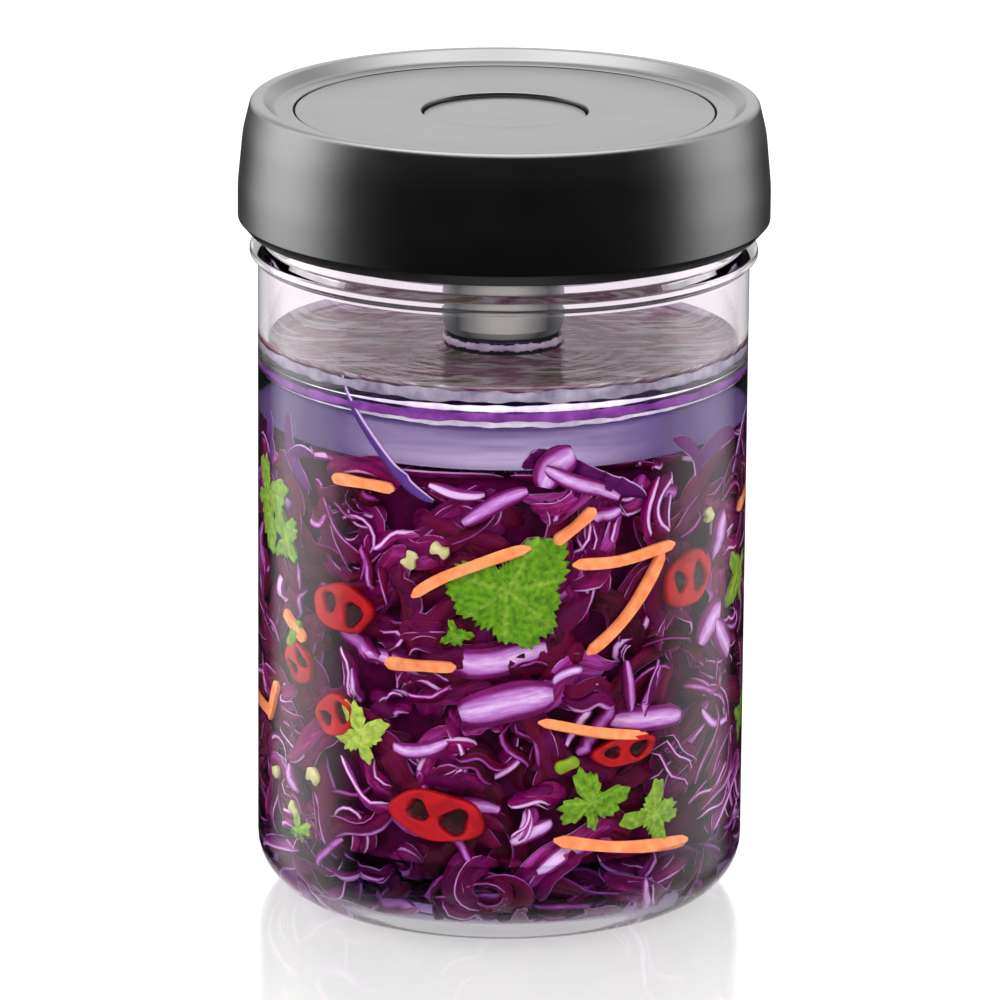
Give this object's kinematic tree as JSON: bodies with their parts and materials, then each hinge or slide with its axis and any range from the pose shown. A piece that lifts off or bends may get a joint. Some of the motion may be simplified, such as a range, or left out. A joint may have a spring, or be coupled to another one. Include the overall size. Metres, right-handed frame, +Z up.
{
  "type": "fermentation jar",
  "caption": "Glass fermentation jar with a black press-on lid, a valve housing and a clear press weight over shredded red cabbage, carrot, chilli and herbs in purple brine.",
  "frame": {"origin": "centre of the jar's base, on the surface that it stands on", "axes": "+Z up along the jar's axis; the pictured front faces -Y"},
  "size_m": [0.1168, 0.1168, 0.1785],
  "materials": {
    "glass": "clear polished glass, slightly thicker at the base",
    "black_plastic": "fine satin, soft broad highlights",
    "black_disc": "satin",
    "black_button": "satin",
    "grey_housing": "smooth, slightly metallic grey",
    "clear_plastic": "clear moulded plastic",
    "vegetables": "wet cut vegetables, magenta-purple skins with pale lilac cut faces"
  },
  "bodies": {
    "root": {"jar_glass": "glass", "lid_cap": "black_plastic", "lid_top_disc": "black_disc", "valve_button": "black_button", "valve_housing": "grey_housing", "press_weight": "clear_plastic", "vegetable_heap": "vegetables"}
  },
  "joints": []
}
